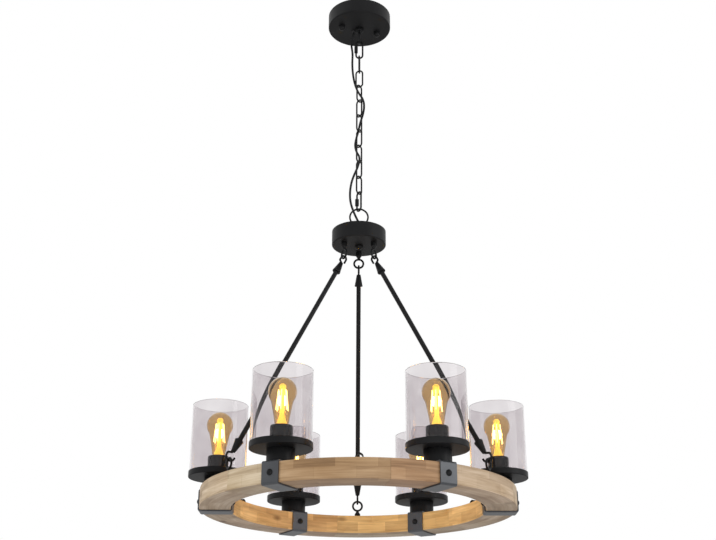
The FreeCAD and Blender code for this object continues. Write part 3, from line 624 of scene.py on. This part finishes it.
# ---- chain: each link hangs in the bow of the one above ----
links = [("upper_quick_link", QUICK_LINK, 0.0)]
links += [(f"chain_link_{k}", CHAIN_LINK, turn) for k, turn in enumerate(CHAIN_TURNS, 1)]
links.append(("lower_quick_link", QUICK_LINK, LAST_TURN))
seat = FIRST_SEAT
seat_wire = LOOP_WIRE
for name, (long, wide, wire), turn in links:
    top = seat + seat_wire + wire + RUNNING_GAP
    bow = wide / 2
    outline = arc(0, top - bow, bow, 0, 180, 20) + arc(0, top - long + bow, bow, 180, 360, 20)
    t = math.radians(turn)
    shapes = [pipe([(x * math.cos(t), x * math.sin(t), z) for x, z in outline], wire, True)]
    if "quick" in name:
        middle = top - long / 2
        sleeve = hexagon(SLEEVE_FLATS, middle - SLEEVE_HALF, middle + SLEEVE_HALF,
                         wire + 0.00005)
        shapes.append(turned(moved(sleeve, -bow), turn))
    add(name + "_visual", joined(*shapes), black_metal, name + "_body", name)
    seat = top - long
    seat_wire = wire

# ---- hub ----
cup = [(0, HUB_FLOOR), (HUB_R - HUB_EDGE, HUB_FLOOR)] \
    + arc(HUB_R - HUB_EDGE, HUB_FLOOR + HUB_EDGE, HUB_EDGE, -90, 0, 6) \
    + [(HUB_R, HUB_TOP - HUB_LIP), (HUB_R - HUB_WALL, HUB_TOP - HUB_LIP),
       (HUB_R - HUB_WALL, HUB_FLOOR + HUB_WALL), (0, HUB_FLOOR + HUB_WALL)]
add("hub_cup_visual", lathe(cup, 96), black_metal, FITTING, "hub_cup")
add("hub_finial_visual", moved(lathe(domed(0.009, -0.003, -0.009), 48), 0, 0, HUB_FLOOR),
    black_metal, FITTING, "hub_finial_nut")


# ---- eye bolts, hooks and rods ----
def eye_bolt(seat, way, shank, radius):
    """An eye bolt at a radius; way is 1 for an eye above its seat and -1 for one below."""
    tip = seat + way * EYE_COLLAR
    body = lathe([(0, seat), (0.006, seat), (0.0064, seat + way * 0.0004),
                  (0.0064, seat + way * 0.0088), (0.006, seat + way * 0.0092),
                  (0.0037, seat + way * 0.013), (0.0023, tip), (0, tip)], 40)
    ring = pipe(circle(EYE_R, (0, 0, seat + way * EYE_MIDDLE), 90, 56), EYE_WIRE, True)
    end = seat - way * shank
    stem = lathe([(0, seat), (0.003, seat), (0.003, end), (0, end)], 24)
    return moved(joined(body, ring, stem), radius)


def hook(seat_at, way, bend, tail):
    """A hook round an eye's wire at seat_at, and the cone that takes the rod along way."""
    outward = np.array((-way[2], 0, way[0]))
    outward = outward if outward[0] > 0 else -outward
    plan = [(HOOK_NECK + 0.004, 0), (HOOK_NECK - 0.001, 0),
            (HOOK_NECK - 0.001 - bend * 0.55, bend), (-HOOK_APEX, bend), (-HOOK_APEX, -bend),
            (bend - HOOK_APEX + tail, -bend)]
    points = [seat_at + way * u + outward * v for u, v in plan]
    bends = [0.003, 0.003, bend - 0.00005, bend - 0.00005]
    wire = pipe(rounded(points, bends, 12), HOOK_WIRE)
    cone = lathe([(0, 0), (0.0042, 0), (0.0044, 0.0002), (0.0086, 0.0236), (0.009, 0.0244),
                  (0.009, 0.0266), (0.0086, 0.027), (0, 0.027)], 40)
    return joined(wire, aimed(cone, seat_at + way * HOOK_NECK, way))


hub_seat = np.array((HUB_EYE_OUT, 0, HUB_FLOOR - EYE_SEAT))
ring_seat = np.array((RING_MIDDLE, 0, RING_TOP + EYE_SEAT))
rod_line = (ring_seat - hub_seat) / np.linalg.norm(ring_seat - hub_seat)
hooks = joined(hook(hub_seat, rod_line, 0.0063, 0.009), hook(ring_seat, -rod_line, 0.009, 0.002))
tube = pipe([hub_seat + rod_line * ROD_START, ring_seat - rod_line * ROD_START], ROD_R, sides=32)
hub_eye = eye_bolt(HUB_FLOOR, -1, 0.009, HUB_EYE_OUT)
ring_eye = eye_bolt(RING_TOP, 1, 0.025, RING_MIDDLE)
for number, direction in enumerate(RODS, 1):
    for name, shape, cad_node in (
            (f"rod_{number}_hooks_visual", hooks, f"rod_{number}_hooks"),
            (f"rod_{number}_tube_visual", tube, f"rod_{number}_tube"),
            (f"hub_eye_{number}", hub_eye, "hub_eye_bolts"),
            (f"ring_eye_{number}", ring_eye, "ring_eye_bolts")):
        add(name, turned(shape, direction), black_metal, FITTING, cad_node)


# ---- wooden ring ----
def eased(inner, outer, low, high, c):
    """Outline of a rectangle whose corners are eased by c."""
    return [(inner + c, low), (outer - c, low), (outer - 0.3 * c, low + 0.3 * c),
            (outer, low + c), (outer, high - c), (outer - 0.3 * c, high - 0.3 * c),
            (outer - c, high), (inner + c, high), (inner + 0.3 * c, high - 0.3 * c),
            (inner, high - c), (inner, low + c), (inner + 0.3 * c, low + 0.3 * c)]


section = eased(RING_INNER_R, RING_R, RING_BOTTOM, RING_TOP, RING_EDGE)
size = len(section)
steps = 36
felloe_faces = [[k * size + s, k * size + (s + 1) % size,
                 (k + 1) * size + (s + 1) % size, (k + 1) * size + s]
                for k in range(steps) for s in range(size)]
felloe_faces += [list(range(size))[::-1], list(range(steps * size, (steps + 1) * size))]
for number in range(FELLOES):
    begin = FIRST_JOINT + 60 * number
    angles = np.radians(np.linspace(begin + JOINT_GAP, begin + 60 - JOINT_GAP, steps + 1))
    points = [(r * math.cos(a), r * math.sin(a), z) for a in angles for r, z in section]
    felloe = add(f"felloe_{number + 1}", (np.array(points), felloe_faces), woods[number],
                 FITTING, f"wood_felloe_{number + 1}")


# ---- lamps: each shape is about its own axis ----
def pear(radius, neck, crown):
    """Half outline of a bulb, from its neck up to its crown."""
    low = BULB_BASE + 0.004
    centre = crown - radius
    widest = centre - radius * 0.62
    side = radius * math.cos(math.asin(0.62))
    a = np.array((neck, low))
    b = np.array((side, widest))
    m = np.array(((side + neck) / 2 - 0.0006, (widest + low) / 2))
    bend = [tuple((1 - s) ** 2 * a + 2 * s * (1 - s) * (2 * m - (a + b) / 2) + s * s * b)
            for s in np.linspace(0, 1, 10)]
    return [(neck, BULB_BASE)] + bend + arc(0, centre, radius, -38.3, 90, 22)[1:]


ring_level = (RING_TOP + RING_BOTTOM) / 2
screw_head = lathe([(0, 0), (0.006, 0), (0.006, 0.0012)]
                   + arc(0, 0.0033 + 0.0012 - 0.0071, 0.0071, 32.3, 90, 8), 40)
strap_screws = joined(aimed(screw_head, (RING_R + STRAP, 0, ring_level), (1, 0, 0)),
                      aimed(screw_head, (STRAP_INNER_R - STRAP, 0, ring_level), (-1, 0, 0)))

wall = 0.0015
spacer = [(0.005, DISH_BOTTOM), (SPACER_R - 0.001, DISH_BOTTOM)] \
    + arc(SPACER_R - 0.001, DISH_BOTTOM - 0.001, 0.001, 90, 0, 4) \
    + [(SPACER_R, STRAP_TOP), (SPACER_R - wall, STRAP_TOP),
       (SPACER_R - wall, DISH_BOTTOM - wall), (0.005, DISH_BOTTOM - wall)]
dish = [(0.005, DISH_BOTTOM), (DISH_R - wall, DISH_BOTTOM)] \
    + arc(DISH_R - wall, DISH_BOTTOM + wall, wall, -90, 0, 5) \
    + [(DISH_R, DISH_TOP - 0.0003), (DISH_R - 0.0003, DISH_TOP), (DISH_R - 0.0009, DISH_TOP),
       (DISH_R - 0.0012, DISH_TOP - 0.0003), (DISH_R - 0.0012, DISH_FLOOR + 0.0004),
       (DISH_R - 0.0016, DISH_FLOOR), (0.005, DISH_FLOOR)]
holder = [(0, DISH_FLOOR), (HOLDER_R, DISH_FLOOR)] \
    + arc(HOLDER_R - 0.002, HOLDER_TOP - 0.002, 0.002, 0, 90, 6) \
    + [(HOLDER_BORE, HOLDER_TOP), (HOLDER_BORE, CAP_BOTTOM), (0, CAP_BOTTOM)]
thread = [(0.0132 - 0.0005 * (1 - math.cos(k * math.pi / 3)),
           CAP_BOTTOM + 0.0035 + 0.027 * k / 48) for k in range(49)]
cap = [(0, CAP_BOTTOM), (0.0042, CAP_BOTTOM), (0.007, CAP_BOTTOM + 0.00175)] + thread \
    + [(0, CAP_BOTTOM + 0.0305)]
shade = [(GLASS_INNER_R, DISH_FLOOR), (GLASS_R - 0.0006, DISH_FLOOR),
         (GLASS_R, DISH_FLOOR + 0.0006), (GLASS_R, GLASS_TOP - GLASS_LIP)] \
    + arc(GLASS_R - GLASS_LIP, GLASS_TOP - GLASS_LIP, GLASS_LIP, 0, 90, 5) \
    + arc(GLASS_INNER_R + GLASS_LIP, GLASS_TOP - GLASS_LIP, GLASS_LIP, 90, 180, 5)
bulb = pear(BULB_R, BULB_NECK, BULB_TOP) \
    + pear(BULB_R - BULB_WALL, BULB_NECK - BULB_WALL, BULB_TOP - BULB_WALL)[::-1]
stem = [(0, BULB_BASE), (0.0105, BULB_BASE), (0.0095, BULB_BASE + 0.012),
        (0.0046, BULB_BASE + 0.026), (0.0032, BULB_TOP - 0.03), (0.0062, BULB_TOP - 0.021),
        (0.0066, BULB_TOP - 0.016), (0.004, BULB_TOP - 0.0125), (0, BULB_TOP - 0.0115)]

filaments = []
wires = []
for k in range(6):
    a = 2 * math.pi * (k + 0.35) / 6
    high = np.array((0.0078 * math.cos(a), 0.0078 * math.sin(a), FILAMENT_TOP))
    low = np.array((0.0118 * math.cos(a), 0.0118 * math.sin(a), FILAMENT_BOTTOM))
    filaments.append(pipe([high, (high + low) / 2, low], 0.00105, sides=8))
    wires.append(pipe([(0, 0, FILAMENT_TOP), high], 0.0003, sides=6))
    wires.append(pipe([(0, 0, FILAMENT_ROOT), low], 0.0003, sides=6))

# name, shape, material, CAD node and slot; {} is the lamp's number
LAMP_PIECES = [
    ("spacer_cup_{}", lathe(spacer, 64), black_metal, "lamp_spacer_cups", None),
    ("gallery_dish_{}", lathe(dish, 96), black_metal, "gallery_dishes", None),
    ("lampholder_{}", lathe(holder, 72), gloss_black, "lampholders", "gloss_black"),
    ("bulb_cap_{}", lathe(cap, 48), brass, "bulb_caps", "bulb_brass"),
    ("shade_{}", lathe(shade, 128), smoked, "glass_shade_{}", "smoked_glass"),
    ("bulb_{}", lathe(bulb, 72), amber, "bulb_glass_{}", "amber_glass"),
    ("bulb_stem_{}", lathe(stem, 24), stem_painted_glow, None, None),
    ("filaments_{}", joined(*filaments), filament_glow, None, None),
    ("filament_wires_{}", joined(*wires), zinc, None, None)]
for number, direction in enumerate(LAMPS, 1):
    add(f"strap_screws_{number}", turned(strap_screws, direction), black_metal, FITTING,
        "strap_screws")
    for name, shape, material, cad_node, slot in LAMP_PIECES:
        made = add(name.format(number), turned(moved(shape, RING_MIDDLE), direction), material,
                   FITTING, *([cad_node.format(number)] if cad_node else []))

# ---- studio ----
FLOOR_Z = -2.6
FLOOR_HALF = 40
floor_mesh = bpy.data.meshes.new("studio_floor")
floor_mesh.from_pydata([(-FLOOR_HALF, -FLOOR_HALF, FLOOR_Z), (FLOOR_HALF, -FLOOR_HALF, FLOOR_Z),
                        (FLOOR_HALF, FLOOR_HALF, FLOOR_Z), (-FLOOR_HALF, FLOOR_HALF, FLOOR_Z)],
                       [], [(0, 1, 2, 3)])
floor_mesh.materials.append(grained("floor_pale", (0.86, 0.86, 0.86), (0.88, 0.88, 0.88), 0.8,
                                    scale=40, bump=0.0, shine=0.1))
floor = bpy.data.objects.new("studio_floor", floor_mesh)
scene.collection.objects.link(floor)
floor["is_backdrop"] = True


def lamp(name, at, size, power, glossy=True):
    """A round studio lamp that lights the object and isn't seen itself."""
    data = bpy.data.lights.new(name, "AREA")
    data.shape = "DISK"
    data.size = size
    data.energy = power
    made = bpy.data.objects.new(name, data)
    made.location = at
    aim = Vector((0, 0, -0.95)) - Vector(at)
    made.rotation_euler = aim.to_track_quat("-Z", "Y").to_euler()
    made.visible_glossy = glossy
    made.visible_transmission = False
    made.visible_camera = False
    scene.collection.objects.link(made)


lamp("key", (-2.9, -1.7, 0.4), 1.6, 62, glossy=False)
lamp("fill", (2.9, -1.5, -0.6), 2.0, 32)
lamp("under", (0.3, -1.8, -2.0), 1.0, 10)
lamp("back", (0.5, 2.6, 0.4), 1.6, 30, glossy=False)
for direction in LAMPS:
    glow = bpy.data.lights.new("bulb_glow", "POINT")
    glow.energy = 0.5
    glow.color = (1.0, 0.62, 0.25)
    glow.shadow_soft_size = 0.012
    bulb_light = bpy.data.objects.new("bulb_glow", glow)
    t = math.radians(direction)
    bulb_light.location = (RING_MIDDLE * math.cos(t), RING_MIDDLE * math.sin(t),
                           BULB_TOP - 0.045)
    scene.collection.objects.link(bulb_light)

# the camera, metal and glass see plain white, and everything else is lit more softly
world = bpy.data.worlds.new("studio_world")
world.use_nodes = True
scene.world = world
nodes = world.node_tree.nodes
soft = nodes["Background"]
feed(soft, {"Color": WHITE, "Strength": 0.55})
plain = node(nodes, "ShaderNodeBackground", {"Color": WHITE, "Strength": 1.0})
rays = nodes.new("ShaderNodeLightPath").outputs
seen = calculated(nodes, "MAXIMUM", rays["Is Camera Ray"], rays["Is Transmission Ray"])
seen = calculated(nodes, "MAXIMUM", seen, rays["Is Glossy Ray"])
pick = node(nodes, "ShaderNodeMixShader",
            {"Fac": seen, 1: soft.outputs["Background"], 2: plain.outputs["Background"]})
feed(nodes["World Output"], {"Surface": pick.outputs["Shader"]})

bounds_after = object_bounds()


def plain_list(value):
    if isinstance(value, dict):
        return {str(k): plain_list(v) for k, v in value.items()}
    if hasattr(value, "__len__") and not isinstance(value, str):
        return [plain_list(v) for v in value]
    return value if isinstance(value, str) else float(value)


{"before": plain_list(bounds_before), "after": plain_list(bounds_after)}
